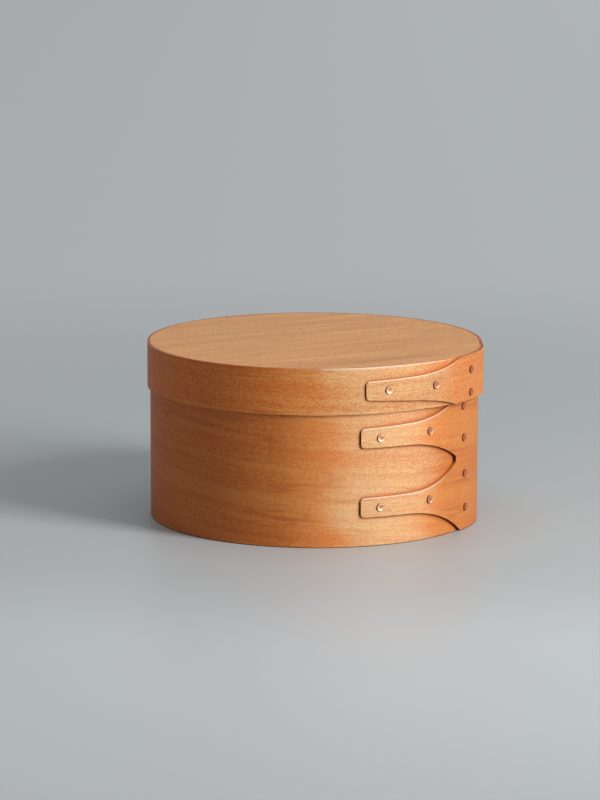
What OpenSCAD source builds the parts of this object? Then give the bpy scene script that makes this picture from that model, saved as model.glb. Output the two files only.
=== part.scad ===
// Round bentwood pantry box with a lift-off lid.
// Each wall is one thin board bent round a form. Its ends lap at the front right, where the outer end
// is cut into tapered fingers that copper tacks hold down. The lid's wall is bent round the box, lap
// and all.
// The origin is the centre of the box's underside, +Z is up and -Y is the front.
// Angles turn from the front towards +X. Lengths along a wall are taken from its finger tips.

/* [Box] */
// Inside radius of the box
inner_r = 72; // [60:0.5:90]
// Height of the box's bent wall
box_h = 74.2; // [64:0.1:100]
// Thickness of the box's bent wall
box_wall = 1.3; // [1:0.05:1.8]
// Thickness of the base board
base_t = 5; // [3:0.1:7]

/* [Lid] */
// Height of the lid's bent wall
lid_h = 20.2; // [17:0.1:26]
// Thickness of the lid's bent wall
lid_wall = 1; // [0.8:0.05:1.6]
// Thickness of the lid board
lid_board_t = 4.3; // [3:0.1:6]
// Gap all round between the box's wall and the lid's
lid_clearance = 0.25; // [0.2:0.05:0.5]
// Gap all round between a board and the wall that it is fixed in
board_fit = 0.1; // [0.05:0.01:0.2]

/* [Laps] */
// Glue line between the two layers of a lap
lap_gap = 0.15; // [0.1:0.01:0.25]
// Angle of the box's finger tips from the front
box_tip_angle = 15.8; // [0:0.1:30]
// Angle of the lid's finger tip from the front
lid_tip_angle = 17.2; // [2:0.1:32]
// Full lap left between the last tack or cut and the slope behind it
lap_tail = 2.5; // [2.5:0.5:10]
// Length over which a lap's outer layer slopes down to a single layer
lap_slope = 20; // [16:1:40]
// How far the lid's slope starts behind the box's
lap_stagger = 6; // [4:0.5:24]
// Thickness of a lap's feathered inner end
feather_t = 0.35; // [0.2:0.05:0.6]
// Length over which the lid's wall rises to pass over the box's lap
lid_rise = 22; // [15:1:28]

/* [Box fingers] */
// Width of a finger at its tip
finger_w = 8.4; // [6:0.1:11]
// Radius of a finger's corners
finger_corner = 1.6; // [0.8:0.1:2.5]
// Centre of the upper finger's tip below the lid's lower edge
upper_finger_drop = 10.8; // [9:0.1:14]
// Centre of the lower finger's tip above the underside
lower_finger_z = 17.15; // [12:0.1:20]
// How much the upper finger's upper edge climbs per millimetre
upper_climb = 0.04; // [0:0.01:0.06]
// How much the lower finger's upper edge climbs per millimetre
lower_climb = 0.02; // [0:0.01:0.06]
// Where the fingers' upper edges start to sweep up
rise_start = 24.5; // [14:0.5:30]
// Where the fingers' lower edges start to sweep down
fall_start = 21; // [14:0.5:30]
// Length of the fingers, from the tips to the arch between them
finger_l = 52.8; // [45:0.1:60]
// Half of the blunt end of the arch
arch_blunt = 1.35; // [0.4:0.05:2]
// Middle of the arch's end above the middle between the finger tips
arch_lift = 0.5; // [0:0.1:1.5]
// Where the upper finger's sweep meets the wall's top edge
upper_exit = 70; // [62:0.5:80]
// Where the lower finger's sweep meets the wall's lower edge
lower_exit = 57.3; // [50:0.1:66]

/* [Lid finger] */
// Width of the lid's finger at its tip
lid_finger_w = 8; // [6:0.1:10]
// How much the finger's upper edge climbs per millimetre
lid_finger_climb = 0.03; // [0:0.01:0.05]
// How much the finger's lower edge falls per millimetre
lid_finger_fall = 0.07; // [0:0.01:0.08]
// Where the lid finger's edges start to sweep apart
lid_sweep_start = 25; // [16:0.5:32]
// Where the upper sweep meets the lid's top edge
lid_upper_exit = 51.6; // [44:0.1:60]
// Where the lower sweep meets the lid's lower edge
lid_lower_exit = 48.2; // [42:0.1:60]

/* [Tacks] */
// Diameter of a tack's head
head_d = 3.5; // [2.5:0.1:4.5]
// Height of the head's rim
head_h = 0.7; // [0.4:0.05:1]
// Radius of the rounding on the head's rim
head_round = 0.3; // [0.15:0.05:0.35]
// Depth of the dish in the head
dish_h = 0.3; // [0.1:0.05:0.35]
// Diameter of a tack's shank
shank_d = 1.2; // [0.9:0.1:1.5]
// Diameter of the clinched tail, flush with the inner layer
tail_d = 2; // [1.6:0.1:2.6]
// Depth of the clinched tail
tail_h = 0.4; // [0.2:0.05:0.6]
// Gap between a tack and its hole
tack_clearance = 0.05; // [0.03:0.01:0.1]
// Distance of the box's tip tacks from the finger tips
tip_tack_in = 8.9; // [5:0.1:14]
// Distance of the box's mid tacks from the finger tips
mid_tack_in = 34.4; // [28:0.1:42]
// How far the box's mid tacks sit above its tip tacks
mid_tack_lift = 0.6; // [0:0.1:1.5]
// Distance of the seam row's highest tack from the finger tips
seam_tack_in = 58.5; // [57:0.1:66]
// How much further on the seam row's lowest tack lies
seam_lean = 2.9; // [0:0.1:4]
// Lowest tack of the seam row above the underside
seam_low = 10; // [8:0.1:14]
// Highest tack of the seam row below the lid's lower edge
seam_top_drop = 2.7; // [2.4:0.1:6]
// How far the row's third tack was set above its even place
third_tack_lift = 1; // [0:0.1:2]
// Distance of the lid's tip tack from the finger tip
lid_tip_tack_in = 10.7; // [6:0.1:16]
// Distance of the lid's mid tack from the finger tip
lid_mid_tack_in = 35.3; // [28:0.1:42]
// Distance of the lid's seam row from the finger tip
lid_seam_tack_in = 60.9; // [58:0.1:70]
// Lower tack of the lid's seam row above the lid's lower edge
lid_seam_low = 3.4; // [2.5:0.1:5]
// Upper tack of the lid's seam row above the lid's lower edge
lid_seam_high = 13.4; // [9:0.1:13.5]

/* [Hidden] */
$fn = 180;

// Colours
wall_colour = "peru";
board_colour = "burlywood";
tack_colour = "darksalmon";

// Reach of cuts past the face that they leave by
past = 1;
// Reach of the wedges that pick out a stretch of wall
far = 4 * inner_r;
// Angle by which a wedge starts before the tip, and the wedge inside it a little more
lead = 2;
// Length before a finger's tip at which its corner starts
tip_lead = 0.03;
// Angle past the end of a slope where nothing of the lap is left
lap_run_out = 8;
// Steps round a finger's corner and along its edge
corner_steps = 5;
edge_steps = 28;
// Steps round the rim of a tack's head
rim_steps = 4;
// Gap kept between the box's finger and the end of the lid's rise over it
rise_margin = 1.5;
seam_count = 4;
// Place of the row's third tack, counted from 0 at the lowest
third_tack = 2;

// Heights
lid_top = box_h + lid_board_t;
lid_low = lid_top - lid_h;
upper_finger_z = lid_low - upper_finger_drop;
lid_finger_z = lid_low + lid_h / 2;
seam_pitch = (lid_low - seam_top_drop - seam_low) / (seam_count - 1);

// Radii of the box's wall, and of its lap, on the outside
wall_r = inner_r + box_wall;
lap_r = wall_r + lap_gap + box_wall;
// Offsets of the lid's faces from the box's outside
lid_in = lid_clearance;
lid_out = lid_in + lid_wall;
lid_over = lid_out + lap_gap;
lid_lap = lid_over + lid_wall;
lid_lap_r = lap_r + lid_lap;

// Angle taken up by a length on the outside of a lap
function turn(length, radius) = length / radius * 180 / PI;
function box_angle(length) = box_tip_angle + turn(length, lap_r);
function lid_angle(length) = lid_tip_angle + turn(length, lid_lap_r);
function place(angle, radius) = [radius * sin(angle), -radius * cos(angle)];

// A slope is an arc, written [x, y, radius], that leads from one radius to a lesser one
function slope(high_angle, high_r, low_angle, low_r) =
    let (half = abs(low_angle - high_angle) / 2)
    let (shift = (high_r - low_r) / (2 * sin(half)))
    let (side = low_angle > high_angle ? -90 : 90)
    let (centre = place((high_angle + low_angle) / 2 + side, shift))
    [centre.x, centre.y, norm([(high_r + low_r) / 2, shift])];
// Radius from the origin at which a slope is met at an angle
function slope_r(arc, angle) =
    let (along = [arc.x, arc.y] * place(angle, 1))
    let (across = norm([arc.x, arc.y]) ^ 2 - along ^ 2)
    along + sqrt(arc.z ^ 2 - across);

// How far an edge has left its start: a steady rate, then a sweep that arrives at an exit point
function sweep_r(rate, start, exit, reach) =
    let (rest = reach - rate * exit)
    ((exit - start) ^ 2 + rest ^ 2) / (2 * rest);
function edge(s, rate, start, exit, reach) =
    let (r = sweep_r(rate, start, exit, reach))
    let (d = max(0, s - start))
    rate * s + r - sqrt(r ^ 2 - d ^ 2);
// Where an edge has left its start by a given height, past the start of its sweep
function edge_reaches(height, rate, start, exit, reach) =
    let (r = sweep_r(rate, start, exit, reach))
    let (a = 1 + rate ^ 2)
    let (b = 2 * (r - height) * rate - 2 * start)
    let (c = (r - height) ^ 2 - r ^ 2 + start ^ 2)
    (-b + sqrt(b ^ 2 - 4 * a * c)) / (2 * a);
// How far a finger's rounded corner draws its edge in
function corner(s) =
    let (d = finger_corner - min(finger_corner, max(0, s)))
    finger_corner - sqrt(finger_corner ^ 2 - d ^ 2);
// Stations along a finger, from before its tip, round its corner and on to an exit
function stations(exit) = concat([-past, -tip_lead],
    [for (k = [1:corner_steps]) finger_corner * (1 - cos(90 * k / corner_steps))],
    [for (k = [1:edge_steps]) finger_corner + (exit - finger_corner) * k / edge_steps]);

// Edges of the box's fingers
upper_top_tip = upper_finger_z + finger_w / 2;
upper_low_tip = upper_finger_z - finger_w / 2;
lower_top_tip = lower_finger_z + finger_w / 2;
lower_low_tip = lower_finger_z - finger_w / 2;
arch_z = (upper_low_tip + lower_top_tip) / 2 + arch_lift;
arch_rise = arch_z - arch_blunt - lower_top_tip;
arch_fall = upper_low_tip - arch_z - arch_blunt;
upper_reach = box_h - upper_top_tip;
function upper_top(s) = upper_top_tip - corner(s)
    + edge(s, upper_climb, rise_start, upper_exit, upper_reach);
function upper_low(s) = upper_low_tip + corner(s)
    - edge(s, 0, fall_start, finger_l, arch_fall);
function lower_top(s) = lower_top_tip - corner(s)
    + edge(s, lower_climb, rise_start, finger_l, arch_rise);
function lower_low(s) = lower_low_tip + corner(s)
    - edge(s, 0, fall_start, lower_exit, lower_low_tip);

// Edges of the lid's finger
lid_finger_top_tip = lid_finger_z + lid_finger_w / 2;
lid_finger_low_tip = lid_finger_z - lid_finger_w / 2;
function lid_finger_top(s) = lid_finger_top_tip - corner(s)
    + edge(s, lid_finger_climb, lid_sweep_start, lid_upper_exit, lid_top - lid_finger_top_tip);
function lid_finger_low(s) = lid_finger_low_tip + corner(s)
    - edge(s, lid_finger_fall, lid_sweep_start, lid_lower_exit, lid_finger_low_tip - lid_low);

// The box's slope, and the feathered end under it
box_slope_start = box_angle(max(seam_tack_in + seam_lean + tail_d, upper_exit) + lap_tail);
box_slope_end = box_slope_start + turn(lap_slope, lap_r);
box_slope = slope(box_slope_start, lap_r, box_slope_end, wall_r);
box_lap_end = box_slope_end + lap_run_out;
box_inner_end = box_slope_end
    - (box_slope_end - box_slope_start) * (feather_t + lap_gap) / (lap_r - wall_r);

// The lid's rise over the box's lap, complete before the box's upper finger comes under the lid
upper_finger_meets_lid = edge_reaches(lid_low - upper_top_tip,
    upper_climb, rise_start, upper_exit, upper_reach);
lid_rise_end = box_angle(upper_finger_meets_lid - rise_margin);
lid_rise_start = lid_rise_end - turn(lid_rise, lap_r);
lid_rise_arc = slope(lid_rise_end, lap_r, lid_rise_start, wall_r);

// Radius of the form that the lid is bent round, and the arc that gives it, at an angle
function form_lap_r(angle) = min(lap_r, slope_r(box_slope, angle), slope_r(lid_rise_arc, angle));
function form_r(angle) = max(wall_r, form_lap_r(angle));
function form_arc(angle) =
    form_lap_r(angle) <= wall_r ? [0, 0, wall_r] :
    form_lap_r(angle) == lap_r ? [0, 0, lap_r] :
    form_lap_r(angle) == slope_r(box_slope, angle) ? box_slope : lid_rise_arc;

// The lid's own slope, and the feathered end under it
lid_slope_start = box_slope_start + turn(lap_stagger, lap_r);
lid_slope_end = lid_slope_start + turn(lap_slope, lid_lap_r);
lid_slope_drop = form_r(lid_slope_start) + lid_lap - wall_r - lid_out;
lid_slope = slope(lid_slope_start, form_r(lid_slope_start) + lid_lap, lid_slope_end, wall_r + lid_out);
lid_lap_end = lid_slope_end + lap_run_out;
lid_inner_end = lid_slope_end
    - (lid_slope_end - lid_slope_start) * (feather_t + lap_gap) / lid_slope_drop;

// Rows of a cut through the box's lap, and through the lid's, at a length
function box_cut_row(s, low, high) =
    [box_angle(s), wall_r + lap_gap / 2, lap_r + past, low, high];
function lid_cut_row(s, low, high) =
    let (angle = lid_angle(s))
    let (r = form_r(angle))
    [angle, r + lid_out + lap_gap / 2, r + lid_lap + past, low, high];

// Tacks: thickness that they hold, and their places as [length, z]
box_lap_t = lap_r - inner_r;
lid_lap_t = lid_lap - lid_in;
finger_tacks = [for (z = [upper_finger_z, lower_finger_z])
    each [[tip_tack_in, z], [mid_tack_in, z + mid_tack_lift]]];
seam_tacks = [for (k = [0:seam_count - 1])
    [seam_tack_in + seam_lean * (1 - k / (seam_count - 1)),
        seam_low + k * seam_pitch + (k == third_tack ? third_tack_lift : 0)]];
box_tacks = concat(finger_tacks, seam_tacks);
lid_tacks = [[lid_tip_tack_in, lid_finger_z], [lid_mid_tack_in, lid_finger_z],
    [lid_seam_tack_in, lid_low + lid_seam_low], [lid_seam_tack_in, lid_low + lid_seam_high]];

// Disc whose outline starts at the back, away from the laps
module disc(radius) {
    rotate(90)
        circle(radius);
}

// Disc of an arc, offset from it
module arc_disc(arc, offset) {
    translate([arc.x, arc.y])
        disc(arc.z + offset);
}

// Plan wedge between two angles
module wedge(from, to) {
    polygon([[0, 0], place(from, far), place((from + to) / 2, far), place(to, far)]);
}

// Plan of the box's lap, offset from its outside
module box_lap_plan(offset) {
    intersection() {
        disc(lap_r + offset);
        arc_disc(box_slope, offset);
    }
}

// Plan of the box's wall: a ring with the lap on it, less the inside and the glue line
module box_plan() {
    difference() {
        union() {
            disc(wall_r);
            intersection() {
                box_lap_plan(0);
                wedge(box_tip_angle, box_lap_end);
            }
        }
        disc(inner_r);
        difference() {
            intersection() {
                box_lap_plan(-box_wall);
                wedge(box_tip_angle - lead, box_lap_end);
            }
            intersection() {
                box_lap_plan(-box_wall - lap_gap);
                wedge(box_tip_angle - 2 * lead, box_inner_end);
            }
        }
    }
}

// Plan of the form that the lid is bent round, offset from it
module lid_form_plan(offset) {
    disc(wall_r + offset);
    intersection() {
        disc(lap_r + offset);
        arc_disc(box_slope, offset);
        arc_disc(lid_rise_arc, offset);
    }
}

// Plan of the lid's wall, made up as the box's is
module lid_plan() {
    difference() {
        union() {
            lid_form_plan(lid_out);
            intersection() {
                lid_form_plan(lid_lap);
                arc_disc(lid_slope, 0);
                wedge(lid_tip_angle, lid_lap_end);
            }
        }
        lid_form_plan(lid_in);
        difference() {
            intersection() {
                lid_form_plan(lid_over);
                arc_disc(lid_slope, -lid_wall);
                wedge(lid_tip_angle - lead, lid_lap_end);
            }
            intersection() {
                lid_form_plan(lid_out);
                arc_disc(lid_slope, -lid_wall - lap_gap);
                wedge(lid_tip_angle - 2 * lead, lid_inner_end);
            }
        }
    }
}

// Cut through a lap's outer layer only, between two edges
// Each row is [angle, inner radius, outer radius, low z, high z]
module lap_cut(rows) {
    points = [for (row = rows)
        for (corner = [[row[1], row[3]], [row[2], row[3]], [row[2], row[4]], [row[1], row[4]]])
            concat(place(row[0], corner[0]), corner[1])];
    last = len(points) - 4;
    sides = [for (i = [0:4:last - 4])
        for (j = [0:3])
            let (a = i + j)
            let (b = i + (j + 1) % 4)
            each [[a, b, b + 4], [a, b + 4, a + 4]]];
    polyhedron(points, concat(sides, [[3, 2, 1, 0], [last, last + 1, last + 2, last + 3]]));
}

// Shank hole with its countersink, along +X from a lap's outer face at x = 0
module tack_hole(depth) {
    rotate([0, 90, 0])
        rotate_extrude()
            polygon([[0, past], [shank_d / 2 + tack_clearance, past],
                [shank_d / 2 + tack_clearance, -depth + tail_h + tack_clearance],
                [tail_d / 2 + tack_clearance, -depth + tack_clearance / 2],
                [tail_d / 2 + tack_clearance, -depth - past], [0, -depth - past]]);
}

// Copper tack along +X: dished head with a round rim, shank through both layers, clinched tail
module tack(depth) {
    head_r = head_d / 2;
    rim = [for (k = [0:2 * rim_steps])
        let (t = 90 * k / rim_steps)
        [head_r - head_round + head_round * cos(t), head_h - head_round + head_round * sin(t)]];
    color(tack_colour)
        rotate([0, 90, 0])
            rotate_extrude()
                polygon(concat([[0, -depth], [tail_d / 2, -depth], [shank_d / 2, -depth + tail_h],
                    [shank_d / 2, 0], [head_r, 0]], rim, [[0, head_h - dish_h]]));
}

// Put a tack or its hole on the box's lap
module on_box(length, z) {
    rotate([0, 0, box_angle(length) - 90])
        translate([lap_r, 0, z])
            children();
}

// Put a tack or its hole on the lid's lap, square to the wall
module on_lid(length, z) {
    angle = lid_angle(length);
    arc = form_arc(angle);
    spot = place(angle, slope_r(arc, angle)) - [arc.x, arc.y];
    translate([arc.x, arc.y, z])
        rotate([0, 0, atan2(spot.y, spot.x)])
            translate([arc.z + lid_lap, 0, 0])
                children();
}

module box_band() {
    color(wall_colour)
        difference() {
            linear_extrude(box_h)
                box_plan();
            lap_cut([for (s = stations(upper_exit)) box_cut_row(s, upper_top(s), box_h + past)]);
            lap_cut([for (s = stations(finger_l)) box_cut_row(s, lower_top(s), upper_low(s))]);
            lap_cut([for (s = stations(lower_exit)) box_cut_row(s, -past, lower_low(s))]);
            for (spot = box_tacks)
                on_box(spot[0], spot[1])
                    tack_hole(box_lap_t);
        }
}

module base_board() {
    color(board_colour)
        cylinder(h = base_t, r = inner_r - board_fit);
}

module lid_band() {
    color(wall_colour)
        difference() {
            translate([0, 0, lid_low])
                linear_extrude(lid_h)
                    lid_plan();
            lap_cut([for (s = stations(lid_upper_exit)) lid_cut_row(s, lid_finger_top(s), lid_top + past)]);
            lap_cut([for (s = stations(lid_lower_exit)) lid_cut_row(s, lid_low - past, lid_finger_low(s))]);
            for (spot = lid_tacks)
                on_lid(spot[0], spot[1])
                    tack_hole(lid_lap_t);
        }
}

module lid_board() {
    color(board_colour)
        translate([0, 0, lid_top - lid_board_t])
            linear_extrude(lid_board_t)
                lid_form_plan(lid_in - board_fit);
}

module box_tack(k) {
    on_box(box_tacks[k][0], box_tacks[k][1])
        tack(box_lap_t);
}

module lid_tack(k) {
    on_lid(lid_tacks[k][0], lid_tacks[k][1])
        tack(lid_lap_t);
}

module upper_tip_tack() box_tack(0);
module upper_mid_tack() box_tack(1);
module lower_tip_tack() box_tack(2);
module lower_mid_tack() box_tack(3);
module seam_tack(k) box_tack(3 + k);
module lid_tip_tack() lid_tack(0);
module lid_mid_tack() lid_tack(1);
module lid_seam_tack(k) lid_tack(1 + k);

box_band();
base_board();
lid_band();
lid_board();
upper_tip_tack();
upper_mid_tack();
lower_tip_tack();
lower_mid_tack();
seam_tack(1);  // seam_tack_1
seam_tack(2);  // seam_tack_2
seam_tack(3);  // seam_tack_3
seam_tack(4);  // seam_tack_4
lid_tip_tack();
lid_mid_tack();
lid_seam_tack(1);  // lid_seam_tack_1
lid_seam_tack(2);  // lid_seam_tack_2
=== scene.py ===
"""A round bentwood pantry box: bent cherry walls with tacked fingers, cherry boards and copper tacks."""
import math
import random

import bmesh
import bpy
from mathutils import Matrix, Vector


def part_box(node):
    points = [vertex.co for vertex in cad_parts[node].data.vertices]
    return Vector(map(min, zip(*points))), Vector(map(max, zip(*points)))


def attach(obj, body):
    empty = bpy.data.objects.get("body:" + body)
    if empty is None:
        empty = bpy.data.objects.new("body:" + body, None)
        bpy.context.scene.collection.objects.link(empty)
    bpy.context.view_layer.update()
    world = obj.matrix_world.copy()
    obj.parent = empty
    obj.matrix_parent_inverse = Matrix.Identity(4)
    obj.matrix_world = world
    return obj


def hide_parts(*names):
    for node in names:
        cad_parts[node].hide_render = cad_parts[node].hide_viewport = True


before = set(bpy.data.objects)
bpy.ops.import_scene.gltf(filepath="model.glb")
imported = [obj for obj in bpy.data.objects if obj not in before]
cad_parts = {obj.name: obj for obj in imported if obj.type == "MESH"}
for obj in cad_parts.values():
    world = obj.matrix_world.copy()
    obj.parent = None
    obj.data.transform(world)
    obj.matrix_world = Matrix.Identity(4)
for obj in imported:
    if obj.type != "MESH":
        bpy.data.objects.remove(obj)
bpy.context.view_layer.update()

MM = 0.001
TURN = 2 * math.pi

# Heights and radii of the pieces, read from the frame, in metres
BOARD_FIT = 0.1 * MM
BOX_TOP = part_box("box_band")[1].z
BASE_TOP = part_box("base_board")[1].z
LID_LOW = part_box("lid_band")[0].z
LID_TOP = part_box("lid_band")[1].z
LID_BOARD_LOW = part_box("lid_board")[0].z
INNER_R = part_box("base_board")[1].x + BOARD_FIT

# Walls and the gaps between them
BOX_WALL = 1.3 * MM
LID_WALL = 1.0 * MM
LID_CLEARANCE = 0.25 * MM
LAP_GAP = 0.15 * MM
FEATHER = 0.35 * MM
WALL_R = INNER_R + BOX_WALL
LAP_RISE = BOX_WALL + LAP_GAP
LAP_R = WALL_R + LAP_RISE
LID_LAP_RISE = LID_WALL + LAP_GAP
LID_LAP_R = LAP_R + LID_CLEARANCE + LID_LAP_RISE + LID_WALL

# Laps: angles turn from the front towards +X, and lengths run along a wall from its finger tips
BOX_TIP = math.radians(15.8)
LID_TIP = math.radians(17.2)
BOX_SLOPE = (math.radians(71.37), math.radians(86.7))
LID_RISE = (math.radians(34.73), math.radians(51.59))
LID_SLOPE = (math.radians(75.97), math.radians(90.82))

# The box's fingers
FINGER_W = 8.4 * MM
FINGER_CORNER = 1.6 * MM
FINGER_L = 52.8 * MM
UPPER_CLIMB = 0.04
LOWER_CLIMB = 0.02
RISE_START = 24.5 * MM
FALL_START = 21 * MM
UPPER_FINGER_Z = LID_LOW - 10.8 * MM
LOWER_FINGER_Z = 17.15 * MM
UPPER_EXIT = 70 * MM
LOWER_EXIT = 57.3 * MM
ARCH_BLUNT = 1.35 * MM
ARCH_LIFT = 0.5 * MM
ARCH_ROUND = 0.7 * MM

# How much of its thickness a finger keeps at its tip, and the length over which it thins
TIP_SHARE = 0.64
TIP_TAPER = 30 * MM

# The lid's finger
LID_FINGER_W = 8 * MM
LID_FINGER_CLIMB = 0.03
LID_FINGER_FALL = 0.07
LID_SWEEP_START = 25 * MM
LID_FINGER_Z = (LID_LOW + LID_TOP) / 2
LID_UPPER_EXIT = 51.6 * MM
LID_LOWER_EXIT = 48.2 * MM

# Tacks: a head with a raised rim round a dish, a shank, and a tail that stands a little proud inside
HEAD_R = 1.75 * MM
HEAD_TOP_R = HEAD_R * 0.93
HEAD_H = 0.7 * MM
RIM_W = 0.55 * MM
RIM_ROUND = RIM_W * 0.4
DISH = 0.3 * MM
DISH_EDGE = 0.7
DISH_SLOPE = (HEAD_R - RIM_W) * 0.45
DISH_ROUND = RIM_W * 0.3
SHANK_R = 0.6 * MM
TAIL_R = 1.0 * MM
TAIL_H = 0.4 * MM
TAIL_REACH = TAIL_H * 1.15
STRUCK_SHARE = 0.95
TACK_SIDES = 28

# Places of the box's tacks: lengths from the finger tips, heights, and lifts of single tacks
TIP_TACK = 8.9 * MM
MID_TACK = 34.4 * MM
MID_TACK_LIFT = 0.6 * MM
SEAM_TACK = 58.5 * MM
SEAM_LEAN = 2.9 * MM
SEAM_LOW = 10 * MM
SEAM_BELOW_LID = 2.7 * MM
SEAM_LIFTS = (0, 0, 1 * MM, 0)

# Places of the lid's tacks: lengths from the finger tip, and heights above the lid's lower edge
LID_TIP_TACK = 10.7 * MM
LID_MID_TACK = 35.3 * MM
LID_SEAM_TACK = 60.9 * MM
LID_SEAM_HEIGHTS = (3.4 * MM, 13.4 * MM)

# How finely the pieces are cut up, how much their edges are eased, and which edges count as sharp
FINGER_STEP = 1.4 * MM
WALL_STEP = 2.4 * MM
CORNER_STEPS = 6
WALL_ROWS = 5
BOARD_SIDES = 240
BOX_EASE = 0.36 * MM
LID_EASE = 0.32 * MM
RIM_EASE = 0.08 * MM
RIM_FIT = 0.03 * MM
SHARP_ANGLE = 1
SMOOTH_ANGLE = 0.6
TOUCH = 0.01 * MM

# How far a bent wall's outer face stays in, so that it lies inside the facets of the solid wall
FACET_FIT = 0.01 * MM

# Patterns of the wood: counts per metre along and across the grain
SWAY = (9, 22)
STREAKS = (7, 85)
FINE_STREAKS = (22, 480)
FIBRES = (170, 3200)
FLECKS = (620, 2400)
SPECKS = (1150, 2500)

# How far the lines of the wood sway, then its growth lines: how many a streak has, how ragged and how wide
# they are, and what they leave of the darkest tone
SWAY_WIDTH = 7 * MM
GROWTH_LINES = 9
GROWTH_RAGGED = 0.35
GROWTH_DRAWN = (0.88, 1.0)
GROWTH_DARK = 0.78

# Flecks: how wide and strong they are, and what they leave of the darkest tone
FLECK_DRAWN = (0.58, 0.75)
FLECK_SHARE = 0.35
FLECK_DARK = 0.7

# How much each pattern counts in the wood's tone
STREAK_TONE = 0.6
FINE_TONE = 0.8
FIBRE_TONE = 0.4
SPECK_TONE = 1.7

# Tones of the wood from dark to pale, as linear red, green and blue, and where they lie on its ramp
WALL_TONES = ((0.38, 0.082, 0.011), (0.45, 0.132, 0.022), (0.51, 0.18, 0.042))
BOARD_TONES = ((0.41, 0.165, 0.044), (0.565, 0.262, 0.094), (0.71, 0.36, 0.15))
TONE_STOPS = (0.2, 0.5, 0.8)

# Colours laid over the walls and the copper: painted shade in corners, a painted highlight on edges, the
# walls' flat rims, a painted contact shadow at the bottom, and tarnish
CORNER_SHADE = (0.44, 0.105, 0.016, 1)
DEEP_CORNER_SHADE = (0.07, 0.007, 0.001, 1)
EDGE_HIGHLIGHT = (0.74, 0.58, 0.46, 1)
RIM_TOP = (0.22, 0.08, 0.04, 1)
LAP_RIM_TOP = (0.45, 0.2, 0.075, 1)
CONTACT_SHADOW = (0.04, 0.008, 0.003, 1)
TARNISH = (0.30, 0.11, 0.06, 1)
TARNISH_SHARE = 0.35

# Copper: dents per metre, the radii between which the hollow turns to rim, and where the painted shade on
# the head's sides begins
DENTS = 1400.0
HOLLOW_TO_RIM = (HEAD_R * 0.4, HEAD_R * 0.7)
SIDE_BELOW = (HEAD_H * 0.92, HEAD_H * 0.72)
SIDE_BEYOND = (HEAD_R * 0.8, HEAD_R * 0.9)

# Painted shade in corners: how far out a corner is felt, and how far the outlook leans sideways and upwards,
# so that corners by the finger tips and below edges count as sheltered and take more painted shade
CORNER_REACH = 3 * MM
CORNER_SAMPLES = 16
TIP_LEAN = 0.6
UPWARD_LEAN = 0.25

# How open a corner lies where its painted shade begins and where it is full, and how strong the shade then
# is
OPEN_SHADE = (0.98, 0.7)
OPEN_SHADE_SHARE = 0.7
SHELTERED_SHADE = (0.82, 0.5)
SHELTERED_SHADE_SHARE = 0.95
DEEP_CORNER = (0.56, 0.40)
DEEP_SHARE = 0.97

# Lengths over which the painted shade on the cut finger ends fades out
CUT_FADE = (62 * MM, 55 * MM)

# Painted highlights on upper edges: how far up an edge has to face, how much further near the rim, the
# middle of the highlighted stretch, the cosines between which it begins, and the sines between which it
# weakens towards the seam
HIGHLIGHT_FACING = (0.085, 0.125)
RIM_FACING = 0.012
NEAR_RIM = (2 * MM, 1.5 * MM)
HIGHLIGHT_MIDDLE = math.radians(27)
HIGHLIGHT_ENDS = (0.87, 0.96)
HIGHLIGHT_FADE = (0.05, 0.45)
HIGHLIGHT_FADE_SHARE = 0.6

# How far below its top a wall counts as flat rim, the turn over which the rim of the lap's inner layer grows
# paler, and how high the painted contact shadow at the bottom of the wall reaches and how strong it is
RIM_BAND = (0.03 * MM, 0.005 * MM)
LAP_RIM_TURN = 0.2
CONTACT_SHADOW_BAND = (0.42 * MM, 0.15 * MM)
CONTACT_SHADOW_SHARE = 0.85

# Painted light on a wall, in stretches of painted highlight, sheen and lifted tone: the angle of the middle
# and the reach to each side in degrees, how much the streaks show in it, and the colour that is screened
# over the wood
STRETCH_SHARE = 0.7
STREAK_DRIFT = 0.5
BOX_PAINTED_LIGHT = (
    (20, 34, 0, (0.385, 0.085, 0.03, 1)),
    (26, 24.5, 1.0, (0.04, 0.215, 0.14, 1)),
    (12, 28, 1.0, (0, 0.035, 0.012, 1)),
    (60, 30, 0, (0.03, 0.035, 0.02, 1)),
    (-75, 66, 0, (0.19, 0, 0, 1)),
)
LID_PAINTED_LIGHT = (
    (10, 36, 0, (0.13, 0.03, 0.01, 1)),
    (25.5, 28.5, 1.0, (0.03, 0.19, 0.12, 1)),
    (4, 21, 1.0, (0, 0.045, 0.018, 1)),
    (60, 30, 0, (0, 0.045, 0.035, 1)),
    (-75, 66, 0, (0.24, 0, 0, 1)),
)

# The floor: the distances from the box over which it fades to the room, the stretch over which the room
# changes from painted darker at the left to lighter at the right, and where the painted pool of light on the
# floor in front begins and mostly ends
FLOOR_R = 8
FLOOR_DROP = 0.05 * MM
FLOOR_SIDES = 96
FLOOR_FADE = (0.12, 0.75)
ROOM_WIDTH = (-0.4, 0.4)
FRONT_BEGINS = (-0.1, -0.25)
FRONT_ENDS = (-0.3, -0.6)
FRONT_LOSS = 0.8

# The colours of the floor near the box and of its painted pool of light in front, and of the room painted
# darker at the left and lighter at the right, and in the light it gives
NEAR_FLOOR = (0.40, 0.425, 0.44, 1)
FLOOR_PAINTED_LIT_FRONT = (0.475, 0.505, 0.53, 1)
LEFT_ROOM = (0.39, 0.41, 0.42, 1)
RIGHT_ROOM = (0.435, 0.46, 0.47, 1)
ROOM_LIGHT = (0.213, 0.22, 0.224, 1)
BLACK = (0, 0, 0, 1)

# Sockets of a Mix node that mixes colours
MIX_SHARE = 0
MIX_FIRST = 6
MIX_SECOND = 7
MIX_RESULT = 2


def ease(share):
    """A smooth step: 0 up to 0, 1 from 1."""
    share = min(max(share, 0), 1)
    return share * share * (3 - 2 * share)


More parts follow.
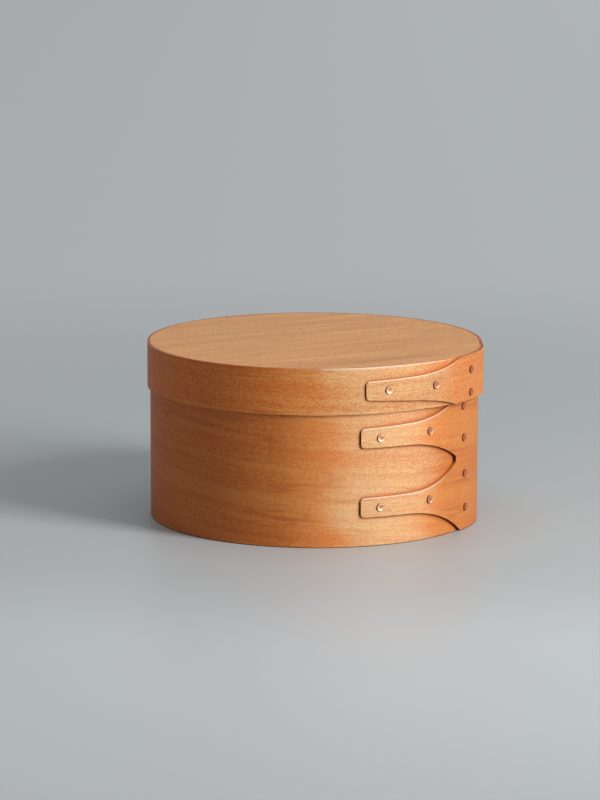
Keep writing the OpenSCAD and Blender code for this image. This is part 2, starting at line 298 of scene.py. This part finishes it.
def ease_back(step):
    """The share at which the smooth step is reached."""
    return 0.5 - math.sin(math.asin(1 - 2 * step) / 3)


def along(span, angle):
    """How far an angle lies through a span of angles."""
    return (angle - span[0]) / (span[1] - span[0])


def place(angle, radius, z):
    """A point at an angle from the front, a radius and a height."""
    return Vector((radius * math.sin(angle), -radius * math.cos(angle), z))


def box_inside(angle):
    """Radius of the inner face of the box's wall, at an angle along its board."""
    return INNER_R + LAP_RISE * (1 - ease(along(BOX_SLOPE, angle)))


def form(angle):
    """Radius of what the lid is bent round: the box with its lap."""
    angle = angle % TURN
    return WALL_R + LAP_RISE * ease(along(LID_RISE, angle)) * (1 - ease(along(BOX_SLOPE, angle)))


def lid_inside(angle):
    """Radius of the inner face of the lid's wall, at an angle along its board."""
    return form(angle) + LID_CLEARANCE + LID_LAP_RISE * (1 - ease(along(LID_SLOPE, angle)))


def sweep(s, rate, start, exit_s, reach):
    """How far a finger's edge has left its tip: a steady rate, then an arc that arrives at its exit."""
    rest = reach - rate * exit_s
    radius = ((exit_s - start) ** 2 + rest ** 2) / (2 * rest)
    run = min(max(s, start), exit_s) - start
    return rate * min(s, exit_s) + radius - math.sqrt(radius ** 2 - run ** 2)


def corner(s):
    """How far a finger's round corner draws its edge in."""
    left = FINGER_CORNER - min(FINGER_CORNER, s)
    return FINGER_CORNER - math.sqrt(FINGER_CORNER ** 2 - left ** 2)


def box_edges(s):
    """Heights of the box's edges at a length: lower finger, then upper finger."""
    low_tip = LOWER_FINGER_Z - FINGER_W / 2
    arch_low_tip = LOWER_FINGER_Z + FINGER_W / 2
    arch_high_tip = UPPER_FINGER_Z - FINGER_W / 2
    high_tip = UPPER_FINGER_Z + FINGER_W / 2
    arch_z = (arch_low_tip + arch_high_tip) / 2 + ARCH_LIFT
    arch_rise = arch_z - ARCH_BLUNT - arch_low_tip
    arch_fall = arch_high_tip - arch_z - ARCH_BLUNT
    return (
        low_tip + corner(s) - sweep(s, 0, FALL_START, LOWER_EXIT, low_tip),
        arch_low_tip - corner(s) + sweep(s, LOWER_CLIMB, RISE_START, FINGER_L, arch_rise),
        arch_high_tip + corner(s) - sweep(s, 0, FALL_START, FINGER_L, arch_fall),
        high_tip - corner(s) + sweep(s, UPPER_CLIMB, RISE_START, UPPER_EXIT, BOX_TOP - high_tip),
    )


def lid_edges(s):
    """Heights of the lid's edges at a length."""
    low_tip = LID_FINGER_Z - LID_FINGER_W / 2
    high_tip = LID_FINGER_Z + LID_FINGER_W / 2
    return (
        low_tip + corner(s)
        - sweep(s, LID_FINGER_FALL, LID_SWEEP_START, LID_LOWER_EXIT, low_tip - LID_LOW),
        high_tip - corner(s)
        + sweep(s, LID_FINGER_CLIMB, LID_SWEEP_START, LID_UPPER_EXIT, LID_TOP - high_tip),
    )


def stations(marks, end):
    """Lengths at which a board is cut up for bending: close round the corner, then through each mark."""
    found = [FINGER_CORNER * (1 - math.cos(TURN / 4 * k / CORNER_STEPS)) for k in range(CORNER_STEPS)]
    start = FINGER_CORNER
    for mark, step in [(m, FINGER_STEP) for m in sorted(marks)] + [(end, WALL_STEP)]:
        count = math.ceil((mark - start) / step)
        found += [start + (mark - start) * k / count for k in range(count)]
        start = mark
    return found + [end]


def flat_board(lengths, edges):
    """A flat sheet in x and y, whose bands of rows run between pairs of edges. Gaps between bands stay."""
    bands = len(edges(0)) // 2
    lines = bands * (WALL_ROWS + 1)
    bm = bmesh.new()
    bmesh.ops.create_grid(bm, x_segments=len(lengths) - 1, y_segments=lines - 1, size=1)
    for vert in bm.verts:
        column = round((vert.co.x + 1) / 2 * (len(lengths) - 1))
        band, row = divmod(round((vert.co.y + 1) / 2 * (lines - 1)), WALL_ROWS + 1)
        low, high = edges(lengths[column])[2 * band:2 * band + 2]
        vert.co = Vector((lengths[column], low + (high - low) * row / WALL_ROWS, 0))
    return bm


def outline(bm, low, high):
    """The sharp edges of a board's outline that lie between two depths."""
    return [e for e in bm.edges if len(e.link_faces) == 2 and e.calc_face_angle() > SHARP_ANGLE
            and all(low <= v.co.z <= high for v in e.verts)]


def soften(bm, edges, width, segments=3):
    """Round off edges."""
    bmesh.ops.bevel(bm, geom=edges, offset=width, offset_type="OFFSET", affect="EDGES",
                    segments=segments, profile=0.5, clamp_overlap=True, material=-1)


def thicken(bm, wall):
    """Give a flat sheet its thickness, upwards."""
    made = bmesh.ops.extrude_face_region(bm, geom=bm.faces[:])["geom"]
    raised = [g for g in made if isinstance(g, bmesh.types.BMVert)]
    bmesh.ops.translate(bm, verts=raised, vec=(0, 0, wall))
    bmesh.ops.recalc_face_normals(bm, faces=bm.faces[:])


def ease_edges(bm, wall, width):
    """Ease a board's outer edges well and its inner edges a little."""
    soften(bm, outline(bm, wall * 0.9, wall * 1.1), width)
    soften(bm, outline(bm, -wall * 0.1, wall * 0.1), RIM_EASE, segments=2)


def thinned(s):
    """The share of its thickness that a wall has at a length: fingers thin towards their tips."""
    return TIP_SHARE + (1 - TIP_SHARE) * ease(s / TIP_TAPER)


def bend(bm, wall, tip, radius, inside):
    """Keep each point's place on the flat board and how far it faces up, then bend the board."""
    kept = bm.verts.layers.float_vector.new("board")
    upward = bm.verts.layers.float.new("upward")
    bm.normal_update()
    for vert in bm.verts:
        vert[kept] = vert.co
        vert[upward] = max(vert.normal.y, 0)
        angle = tip + vert.co.x / radius
        low = inside(angle)
        high = low + wall * thinned(vert.co.x) - FACET_FIT
        if angle > TURN:
            high = min(high, inside(angle - TURN) - LAP_GAP)
        vert.co = place(angle, low + (high - low) * vert.co.z / wall, vert.co.y)


def piece(name, bm, material, body, node):
    """Finish a mesh as a piece that rides on a body and stands for a node of the frame."""
    bmesh.ops.recalc_face_normals(bm, faces=bm.faces[:])
    mesh = bpy.data.meshes.new(name)
    bm.to_mesh(mesh)
    bm.free()
    mesh.shade_smooth()
    mesh.set_sharp_from_angle(angle=SMOOTH_ANGLE)
    mesh.materials.append(material)
    made = bpy.data.objects.new(name, mesh)
    bpy.context.scene.collection.objects.link(made)
    even = made.modifiers.new("even shading", "WEIGHTED_NORMAL")
    even.keep_sharp = True
    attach(made, body)
    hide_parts(node)


def feathered_end(slope, rise):
    """The angle at which a lap's inner layer has thinned to its feathered end."""
    return slope[0] + (slope[1] - slope[0]) * ease_back(1 - (FEATHER + LAP_GAP) / rise)


def in_notch(point):
    """Whether a point of the box's flat board lies in the notch between its fingers."""
    low, high = box_edges(point.x)[1:3]
    return point.x < FINGER_L and low < point.y < high


def at_arch_corner(edge):
    """Whether an edge runs through the box's board at a corner of the arch's blunt end."""
    through = edge.calc_length() > BOX_WALL * 0.9
    at_end = all(abs(v.co.x - FINGER_L) < TOUCH for v in edge.verts)
    heights = box_edges(FINGER_L)[1:3]
    return through and at_end and any(all(abs(v.co.y - y) < TOUCH for v in edge.verts) for y in heights)


def box_wall(material):
    """The box's wall: one board with two fingers, bent round into its own lap."""
    end = (TURN + feathered_end(BOX_SLOPE, LAP_RISE) - BOX_TIP) * LAP_R
    bm = flat_board(stations([FINGER_L, LOWER_EXIT, UPPER_EXIT], end), box_edges)
    notch = [f for f in bm.faces if in_notch(f.calc_center_median())]
    bmesh.ops.delete(bm, geom=notch, context="FACES")
    thicken(bm, BOX_WALL)
    soften(bm, [e for e in bm.edges if at_arch_corner(e)], ARCH_ROUND)
    ease_edges(bm, BOX_WALL, BOX_EASE)
    bend(bm, BOX_WALL, BOX_TIP, LAP_R, box_inside)
    piece("box_wall", bm, material, "box", "box_band")


def lid_wall(material):
    """The lid's wall: one board with one finger, bent round the box's lap and its own."""
    end = (TURN + feathered_end(LID_SLOPE, LID_LAP_RISE) - LID_TIP) * LID_LAP_R
    bm = flat_board(stations([LID_LOWER_EXIT, LID_UPPER_EXIT], end), lid_edges)
    thicken(bm, LID_WALL)
    ease_edges(bm, LID_WALL, LID_EASE)
    bend(bm, LID_WALL, LID_TIP, LID_LAP_R, lid_inside)
    piece("lid_wall", bm, material, "lid", "lid_band")


def round_board(low, high, rim):
    """A flat board whose rim lies at a radius for each angle, with eased edges."""
    bm = bmesh.new()
    bmesh.ops.create_circle(bm, cap_ends=True, segments=BOARD_SIDES, radius=1)
    for vert in bm.verts:
        angle = math.atan2(vert.co.x, -vert.co.y)
        vert.co = place(angle, rim(angle), low)
    thicken(bm, high - low)
    soften(bm, [e for e in bm.edges if e.calc_face_angle() > SHARP_ANGLE], RIM_EASE, segments=2)
    return bm


def lid_disc(material):
    """The lid's board, fitted into the lid's wall."""
    bm = round_board(LID_BOARD_LOW, LID_TOP, lambda angle: form(angle) + LID_CLEARANCE - RIM_FIT)
    piece("lid_disc", bm, material, "lid", "lid_board")


def base_disc(material):
    """The base board, fitted into the box's wall."""
    bm = round_board(0, BASE_TOP, lambda angle: INNER_R - RIM_FIT)
    piece("base_disc", bm, material, "box", "base_board")


def tack(name, coppers, body, depth, spot, outward):
    """A copper tack: dished head with a raised rim, shank through the lap, clinched tail."""
    luck = random.Random(name)
    bm = bmesh.new()
    bmesh.ops.create_cone(bm, cap_ends=True, segments=TACK_SIDES,
                          radius1=HEAD_R, radius2=HEAD_TOP_R, depth=HEAD_H)
    bmesh.ops.translate(bm, verts=bm.verts[:], vec=(0, 0, HEAD_H / 2))
    bm.faces.ensure_lookup_table()
    top = max(bm.faces, key=lambda f: f.calc_center_median().z)
    under = min(bm.faces, key=lambda f: f.calc_center_median().z)
    rim = list(top.edges)
    bmesh.ops.inset_region(bm, faces=[top], thickness=RIM_W)
    bmesh.ops.translate(bm, verts=top.verts[:], vec=(0, 0, -DISH * DISH_EDGE))
    hollow = list(top.edges)
    bmesh.ops.inset_region(bm, faces=[top], thickness=DISH_SLOPE)
    bmesh.ops.translate(bm, verts=top.verts[:], vec=(0, 0, -DISH * (1 - DISH_EDGE)))
    bmesh.ops.inset_region(bm, faces=[under], thickness=HEAD_R - SHANK_R)
    shank = bmesh.ops.extrude_discrete_faces(bm, faces=[under])["faces"][0]
    bmesh.ops.translate(bm, verts=shank.verts[:], vec=(0, 0, TAIL_H - depth))
    tail = bmesh.ops.extrude_discrete_faces(bm, faces=[shank])["faces"][0]
    bmesh.ops.translate(bm, verts=tail.verts[:], vec=(0, 0, -TAIL_REACH))
    bmesh.ops.scale(bm, verts=tail.verts[:], vec=(TAIL_R / SHANK_R, TAIL_R / SHANK_R, 1))
    soften(bm, rim, RIM_ROUND, segments=3)
    soften(bm, hollow, DISH_ROUND, segments=2)
    kept = bm.verts.layers.float_vector.new("board")
    for vert in bm.verts:
        vert[kept] = vert.co
    struck = Matrix.Diagonal((luck.uniform(STRUCK_SHARE, 1), luck.uniform(STRUCK_SHARE, 1), 1, 1))
    lean = Matrix.Rotation(luck.uniform(0, TURN), 4, "Z")
    stand = outward.to_track_quat("Z", "Y").to_matrix().to_4x4()
    bmesh.ops.transform(bm, verts=bm.verts[:], matrix=Matrix.Translation(spot) @ stand @ lean @ struck)
    material = next(coppers[row] for row in coppers if row in name)
    piece("copper_" + name, bm, material, body, name)


def box_tacks(coppers):
    """The tacks at the tips and middles of the box's fingers, and its seam row, which leans a little."""
    fingers = (("upper", UPPER_FINGER_Z), ("lower", LOWER_FINGER_Z))
    rows = (("tip", TIP_TACK, 0), ("mid", MID_TACK, MID_TACK_LIFT))
    places = {f"{finger}_{row}_tack": (length, z + lift)
              for finger, z in fingers for row, length, lift in rows}
    last = len(SEAM_LIFTS) - 1
    pitch = (LID_LOW - SEAM_BELOW_LID - SEAM_LOW) / last
    for k, lift in enumerate(SEAM_LIFTS):
        length = SEAM_TACK + SEAM_LEAN * (1 - k / last)
        places[f"seam_tack_{k + 1}"] = (length, SEAM_LOW + k * pitch + lift)
    for name, (length, z) in places.items():
        angle = BOX_TIP + length / LAP_R
        radius = box_inside(angle) + BOX_WALL * thinned(length)
        tack(name, coppers, "box", radius - INNER_R, place(angle, radius, z), place(angle, 1, 0))


def lid_tacks(coppers):
    """The tacks of the lid's finger and seam row, each square to the wall, which isn't quite round."""
    places = {"lid_tip_tack": (LID_TIP_TACK, LID_FINGER_Z), "lid_mid_tack": (LID_MID_TACK, LID_FINGER_Z)}
    for k, height in enumerate(LID_SEAM_HEIGHTS):
        places[f"lid_seam_tack_{k + 1}"] = (LID_SEAM_TACK, LID_LOW + height)
    step = 0.01
    for name, (length, z) in places.items():
        angle = LID_TIP + length / LID_LAP_R
        radius = lid_inside(angle) + LID_WALL * thinned(length)
        rate = (lid_inside(angle + step) - lid_inside(angle - step)) / (2 * step)
        outward = place(angle, radius, 0) - place(angle + TURN / 4, rate, 0)
        depth = LID_WALL * (1 + thinned(length)) + LAP_GAP
        tack(name, coppers, "lid", depth, place(angle, radius, z), outward)


def feed(node, inputs):
    """Set or wire a node's sockets."""
    for name, value in inputs.items():
        if isinstance(value, Wire):
            value.tree.links.new(value.socket, node.inputs[name])
        else:
            node.inputs[name].default_value = value


class Wire:
    """A socket in a material's nodes. Sums on it add Math nodes."""

    def __init__(self, tree, socket):
        self.tree = tree
        self.socket = socket

    def node(self, kind, settings, inputs, output=0):
        """Add a node: its settings come first, then the values or wires of its sockets."""
        made = self.tree.nodes.new(kind)
        for name, setting in settings.items():
            if name == "stops":
                while len(made.color_ramp.elements) < len(setting):
                    made.color_ramp.elements.new(1)
                for element, (position, colour) in zip(made.color_ramp.elements, setting):
                    element.position = position
                    element.color = (*colour, 1)
            else:
                setattr(made, name, setting)
        feed(made, inputs)
        return Wire(self.tree, made.outputs[output])

    def maths(self, operation, first, second=0.0):
        """Add a Math node."""
        return self.node("ShaderNodeMath", {"operation": operation}, {0: first, 1: second})

    def vector(self, operation, first, second=(0, 0, 0), output="Vector"):
        """Add a Vector Math node."""
        return self.node("ShaderNodeVectorMath", {"operation": operation}, {0: first, 1: second}, output)

    def __add__(self, other):
        return self.maths("ADD", self, other)

    def __radd__(self, other):
        return self.maths("ADD", other, self)

    def __sub__(self, other):
        return self.maths("SUBTRACT", self, other)

    def __rsub__(self, other):
        return self.maths("SUBTRACT", other, self)

    def __mul__(self, other):
        return self.maths("MULTIPLY", self, other)

    def __rmul__(self, other):
        return self.maths("MULTIPLY", other, self)

    def parts(self):
        """The x, y and z of a vector."""
        split = self.node("ShaderNodeSeparateXYZ", {}, {0: self})
        return [Wire(self.tree, out) for out in split.socket.node.outputs]

    def step(self, low, high):
        """A smooth step of a value, from 0 at low to 1 at high."""
        return self.node("ShaderNodeMapRange", {"interpolation_type": "SMOOTHSTEP"},
                         {"Value": self, "From Min": low, "From Max": high})

    def mix(self, first, second, blend="MIX"):
        """A colour between two others, or with the second blended over the first, by this value."""
        return self.node("ShaderNodeMix", {"data_type": "RGBA", "blend_type": blend},
                         {MIX_SHARE: self, MIX_FIRST: first, MIX_SECOND: second}, MIX_RESULT)


def new_material(name, source, settings, output):
    """An empty material, the wire of its surface coordinates and its shader."""
    made = bpy.data.materials.new(name)
    made.use_nodes = True
    shader = made.node_tree.nodes["Principled BSDF"]
    start = Wire(made.node_tree, None).node(source, settings, {}, output)
    return made, start, shader


def board_places(name):
    """A material that reads each point's place on its own flat board or tack."""
    return new_material(name, "ShaderNodeAttribute", {"attribute_name": "board"}, "Vector")


def object_places(name):
    """A material that reads each point's place in the frame."""
    return new_material(name, "ShaderNodeTexCoord", {}, "Object")


def noise(start, spot, scales, detail=2.0, roughness=0.5):
    """Soft noise drawn out along the grain: scales are counts per metre along and across it."""
    lengthways, across, depth = spot
    scaled = start.node("ShaderNodeCombineXYZ", {},
                        {0: lengthways * scales[0], 1: across * scales[1], 2: depth * scales[1]})
    return start.node("ShaderNodeTexNoise", {},
                      {"Vector": scaled, "Scale": 1.0, "Detail": detail, "Roughness": roughness})


def cherry(start, tones, dip, shift, lines):
    """Oiled cherry: its colour, tone, streaks and relief, with growth lines and flecks along the grain."""
    lengthways, across, depth = start.vector("ADD", start, shift).parts()
    sway = noise(start, (lengthways, across, depth), SWAY, 1.0)
    line = across + lengthways * dip + (sway - 0.5) * SWAY_WIDTH
    spot = (lengthways, line, depth)
    broad = noise(start, spot, STREAKS, 3.0)
    fine = noise(start, spot, FINE_STREAKS, 4.0, 0.6)
    fibre = noise(start, spot, FIBRES)
    fleck = noise(start, spot, FLECKS, 1.0)
    speck = noise(start, spot, SPECKS)
    rings = start.maths("PINGPONG", broad * GROWTH_LINES + fine * GROWTH_RAGGED, 1.0)
    growth = rings.step(*GROWTH_DRAWN)
    streaked = (broad - 0.5) * STREAK_TONE + (fine - 0.5) * FINE_TONE
    tone = streaked + (fibre - 0.5) * FIBRE_TONE + (speck - 0.5) * SPECK_TONE + 0.5
    plain = start.node("ShaderNodeValToRGB", {"stops": list(zip(TONE_STOPS, tones))}, {0: tone})
    growth_line = (*[part * GROWTH_DARK for part in tones[0]], 1)
    dark_fleck = (*[part * FLECK_DARK for part in tones[0]], 1)
    lined = (growth * lines).mix(plain, growth_line)
    flecked = (fleck.step(*FLECK_DRAWN) * FLECK_SHARE).mix(lined, dark_fleck)
    height = fibre * 0.4 + speck * 0.6
    relief = start.node("ShaderNodeBump", {}, {"Strength": 0.35, "Distance": 0.05 * MM, "Height": height})
    return flecked, tone, broad - 0.5, relief


def paint_light_stretches(colour, tone, streak, turned, stretches):
    """The colour of a wall with stretches of painted light, a painted highlight and sheen among them, whose
    ends drift with the streaks.
    """
    for middle, reach, play, pale in stretches:
        away = colour.maths("COSINE", turned - math.radians(middle) + streak * play * STREAK_DRIFT)
        stretch = away.step(math.cos(math.radians(reach)), 1.0)
        colour = (stretch * ((tone - 0.5) * play + STRETCH_SHARE)).mix(colour, pale, "SCREEN")
    return colour


def openness(start, inputs):
    """1 where a piece lies open, less in its own corners."""
    return start.node("ShaderNodeAmbientOcclusion", {"samples": CORNER_SAMPLES, "only_local": True},
                      {"Distance": CORNER_REACH, **inputs}, "AO")


def paint_corner_shade(start, colour, length, depth, faces_up, wall):
    """The colour of a wall with painted shade in its corners, most of all below its edges and at its finger
    tips, and with painted shade on its cut finger ends."""
    outward = start.node("ShaderNodeNewGeometry", {}, {}, "Normal")
    sideways = start.vector("CROSS_PRODUCT", (0, 0, TIP_LEAN), outward)
    leaning = start.vector("ADD", start.vector("ADD", outward, sideways), (0, 0, UPWARD_LEAN))
    open_air = openness(start, {})
    sheltered = openness(start, {"Normal": start.vector("NORMALIZE", leaning)})
    # Painted shade: darker where the piece shelters its own corners
    open_shade_mask = open_air.step(*OPEN_SHADE) * OPEN_SHADE_SHARE
    shade_mask = start.maths("MAXIMUM", open_shade_mask, sheltered.step(*SHELTERED_SHADE) * SHELTERED_SHADE_SHARE)
    cut = depth.step(wall * 0.02, wall * 0.1) * depth.step(wall * 0.9, wall * 0.65)
    cut_end_shade = cut * (1 - faces_up.step(0.3, 0.6)) * length.step(*CUT_FADE)
    deep = start.maths("MAXIMUM", cut_end_shade, sheltered.step(*DEEP_CORNER))
    return (deep * DEEP_SHARE).mix(shade_mask.mix(colour, CORNER_SHADE), DEEP_CORNER_SHADE)


def paint_edge_highlight(start, colour, tone, turned, height, depth, faces_up, wall, top):
    """The colour of a wall with a painted highlight on its upper edges in one stretch of the wall, weaker
    towards the seam.
    """
    by_rim = height.step(top - NEAR_RIM[0], top - NEAR_RIM[1])
    edge = (faces_up - by_rim * RIM_FACING).step(*HIGHLIGHT_FACING) * depth.step(wall * 0.15, wall * 0.5)
    past = turned - HIGHLIGHT_MIDDLE
    highlighted = start.maths("COSINE", past).step(*HIGHLIGHT_ENDS)
    fading = start.maths("SINE", past).step(*HIGHLIGHT_FADE)
    uneven = tone * 0.6 + 0.6
    return (edge * highlighted * (1 - fading * HIGHLIGHT_FADE_SHARE) * uneven).mix(colour, EDGE_HIGHLIGHT)


def wall_cherry(name, dip, shift, light, stretches, tip, radius, wall, top):
    """The cherry of a bent wall: with painted light in stretches along the board, painted shade in its
    corners, painted highlights on its upper edges, dark on its flat rim, and a painted contact shadow where
    it meets the floor."""
    made, start, shader = board_places(name)
    tones = [[light * part for part in tone] for tone in WALL_TONES]
    plain, tone, streak, relief = cherry(start, tones, dip, shift, lines=0.6)
    length, height, depth = start.parts()
    turned = length * (1 / radius) + tip
    faces_up = start.node("ShaderNodeAttribute", {"attribute_name": "upward"}, {}, "Fac")
    # Painted light: stretches of painted highlight, sheen and lifted tone over the wood
    painted_lit = paint_light_stretches(plain, tone, streak, turned, stretches)
    # Painted shade in the wall's corners and on its cut finger ends
    corner_shaded = paint_corner_shade(start, painted_lit, length, depth, faces_up, wall)
    # Painted highlight on the upper edges
    edge_lit = paint_edge_highlight(start, corner_shaded, tone, turned, height, depth, faces_up, wall, top)
    rim = height.step(top - RIM_BAND[0], top - RIM_BAND[1]) * depth.step(wall * 0.8, wall * 0.62)
    rim_colour = turned.step(TURN, TURN + LAP_RIM_TURN).mix(RIM_TOP, LAP_RIM_TOP)
    # Painted contact shadow at the bottom of the wall
    contact_shadow = height.step(*CONTACT_SHADOW_BAND) * CONTACT_SHADOW_SHARE
    contact_shadowed = contact_shadow.mix(rim.mix(edge_lit, rim_colour), CONTACT_SHADOW)
    feed(shader, {"Base Color": contact_shadowed, "Normal": relief,
                  "Roughness": 0.5 + (tone - 0.5) * 0.2, "Specular IOR Level": 0.27})
    return made


def board_cherry(name, turn, shift):
    """The cherry of a flat board, with its grain at a turn."""
    made, start, shader = object_places(name)
    turned = start.node("ShaderNodeMapping", {"vector_type": "TEXTURE"}, {0: start, 2: (0, 0, turn)})
    colour, tone, _, relief = cherry(turned, BOARD_TONES, dip=0, shift=shift, lines=0.3)
    feed(shader, {"Base Color": colour, "Normal": relief,
                  "Roughness": 0.52 + (tone - 0.5) * 0.2, "Specular IOR Level": 0.45})
    return made


def copper(name, hollow, rim, edge, metal):
    """Hammered copper: a paler rim, a redder hollow, small dents, and sides darkened with painted shade."""
    made, start, shader = board_places(name)
    reach = start.vector("LENGTH", start.vector("MULTIPLY", start, (1, 1, 0)), output="Value")
    dents = start.node("ShaderNodeTexNoise", {}, {"Vector": start, "Scale": DENTS, "Detail": 2.0})
    colour = reach.step(*HOLLOW_TO_RIM).mix(hollow, rim)
    dulled = (dents.step(0.5, 0.75) * TARNISH_SHARE).mix(colour, TARNISH)
    # Painted shade on the lower sides of the head
    side_shade = start.parts()[2].step(*SIDE_BELOW) * reach.step(*SIDE_BEYOND)
    side_shaded = side_shade.mix(dulled, edge)
    relief = start.node("ShaderNodeBump", {}, {"Strength": 0.5, "Distance": 0.06 * MM, "Height": dents})
    feed(shader, {"Base Color": side_shaded, "Metallic": metal, "Normal": relief,
                  "Roughness": 0.4 + dents * 0.2 + side_shade * 0.2, "Specular IOR Level": 0.15})
    return made


def seen_rays(start):
    """1 for the rays that show a surface as such, 0 for those that gather its light."""
    split = start.node("ShaderNodeLightPath", {}, {}).socket.node.outputs
    camera_ray, glossy, through = [Wire(start.tree, split[name]) for name in
                                   ("Is Camera Ray", "Is Glossy Ray", "Is Transmission Ray")]
    return camera_ray + glossy + through


def floor_finish():
    """A matt pale floor with a painted pool of light in front, that fades to the grey of the room, painted
    darker at the left.
    """
    made, start, shader = object_places("floor")
    reach = start.vector("LENGTH", start, output="Value")
    grain = start.node("ShaderNodeTexNoise", {}, {"Vector": start, "Scale": 3.0})
    away = reach.step(*FLOOR_FADE)
    sideways, forwards, _ = start.parts()
    # The room painted darker at the left than at the right
    far = sideways.step(*ROOM_WIDTH).mix(LEFT_ROOM, RIGHT_ROOM)
    # Painted pool of light on the floor in front
    in_front = forwards.step(*FRONT_BEGINS) - forwards.step(*FRONT_ENDS) * FRONT_LOSS
    pale = in_front.mix(NEAR_FLOOR, FLOOR_PAINTED_LIT_FRONT)
    feed(shader, {"Base Color": (grain * 0.1 + 0.9).mix(BLACK, pale), "Roughness": 0.45})
    glow = start.node("ShaderNodeEmission", {}, {"Color": far, "Strength": 1.0})
    floor_shader = Wire(made.node_tree, shader.outputs[0])
    mixed = start.node("ShaderNodeMixShader", {}, {0: away * seen_rays(start), 1: floor_shader, 2: glow})
    feed(made.node_tree.nodes["Material Output"], {"Surface": mixed})
    return made


def floor():
    """The floor, a hair below the box."""
    bm = bmesh.new()
    bmesh.ops.create_circle(bm, cap_ends=True, segments=FLOOR_SIDES, radius=FLOOR_R)
    bmesh.ops.translate(bm, verts=bm.verts[:], vec=(0, 0, -FLOOR_DROP))
    mesh = bpy.data.meshes.new("floor")
    bm.to_mesh(mesh)
    bm.free()
    mesh.materials.append(floor_finish())
    laid = bpy.data.objects.new("floor", mesh)
    bpy.context.scene.collection.objects.link(laid)


def room():
    """The grey room round the floor."""
    world = bpy.data.worlds.new("room")
    bpy.context.scene.world = world
    world.use_nodes = True
    grey = seen_rays(Wire(world.node_tree, None)).mix(ROOM_LIGHT, RIGHT_ROOM)
    feed(world.node_tree.nodes["Background"], {"Color": grey})


def lamp(name, shape, size, energy, colour, bearing, height, distance):
    """A soft lamp that faces the middle of the box from a bearing and a height."""
    light = bpy.data.lights.new(name, "AREA")
    light.shape = shape
    light.size = size[0]
    light.size_y = size[1]
    light.energy = energy
    light.color = colour
    hung = bpy.data.objects.new(name, light)
    bpy.context.scene.collection.objects.link(hung)
    hung.location = place(bearing, distance * math.cos(height), distance * math.sin(height))
    hung.rotation_euler = hung.location.to_track_quat("Z", "Y").to_euler()


def studio():
    """The floor and the room, with a tall soft lamp at the right and one overhead."""
    floor()
    room()
    lamp("tall_lamp", "RECTANGLE", (0.45, 0.9), energy=29, colour=(1.0, 0.98, 0.95),
         bearing=math.radians(55), height=math.radians(28), distance=1.5)
    lamp("top_lamp", "DISK", (1.4, 1.4), energy=7.6, colour=(0.98, 1.0, 1.0),
         bearing=0, height=TURN / 4, distance=1.6)


def camera():
    """The photograph's view: a long lens a little above the lid."""
    distance, height = 1.6, 0.2181
    pan, tilt, roll = -0.0040, 0.0313, 0.0042
    lens = bpy.data.cameras.new("camera")
    lens.lens = 159.8
    lens.sensor_width = 36
    seat = bpy.data.objects.new("camera", lens)
    bpy.context.scene.collection.objects.link(seat)
    aim = Matrix.Rotation(TURN / 4 - height, 4, "X") @ Matrix.Rotation(-pan, 4, "Y")
    aim = aim @ Matrix.Rotation(tilt, 4, "X") @ Matrix.Rotation(roll, 4, "Z")
    spot = place(0, distance * math.cos(height), distance * math.sin(height))
    seat.matrix_world = Matrix.Translation(spot) @ aim
    bpy.context.scene.camera = seat


box_wall(wall_cherry("box wall cherry", dip=0.07, shift=(0.3, 0.1, 0), light=1, stretches=BOX_PAINTED_LIGHT,
                     tip=BOX_TIP, radius=LAP_R, wall=BOX_WALL, top=BOX_TOP))
lid_wall(wall_cherry("lid wall cherry", dip=-0.01, shift=(1.7, 0.43, 0), light=1.13, stretches=LID_PAINTED_LIGHT,
                     tip=LID_TIP, radius=LID_LAP_R, wall=LID_WALL, top=LID_TOP))
lid_disc(board_cherry("lid board cherry", turn=math.radians(30), shift=(0.2, 0.6, 0.1)))
base_disc(board_cherry("base board cherry", turn=math.radians(80), shift=(0.9, 0.2, 0.3)))

# The copper of each row of tacks is one copper in painted lit and shaded copies: lit at the finger tips,
# half shaded in the middle, shaded in the seams
row_coppers = {
    "tip": copper("copper painted lit", hollow=(0.58, 0.19, 0.11, 1), rim=(0.88, 0.58, 0.36, 1),
                  edge=(0.07, 0.012, 0.005, 1), metal=1.0),
    "mid": copper("copper painted half shaded", hollow=(0.46, 0.17, 0.09, 1), rim=(0.60, 0.29, 0.16, 1),
                  edge=(0.06, 0.008, 0.003, 1), metal=0.8),
    "seam": copper("copper painted shaded", hollow=(0.34, 0.105, 0.045, 1), rim=(0.42, 0.155, 0.068, 1),
                   edge=(0.17, 0.03, 0.009, 1), metal=0.4),
}
box_tacks(row_coppers)
lid_tacks(row_coppers)
camera()
studio()
bpy.context.scene.view_settings.view_transform = "Standard"
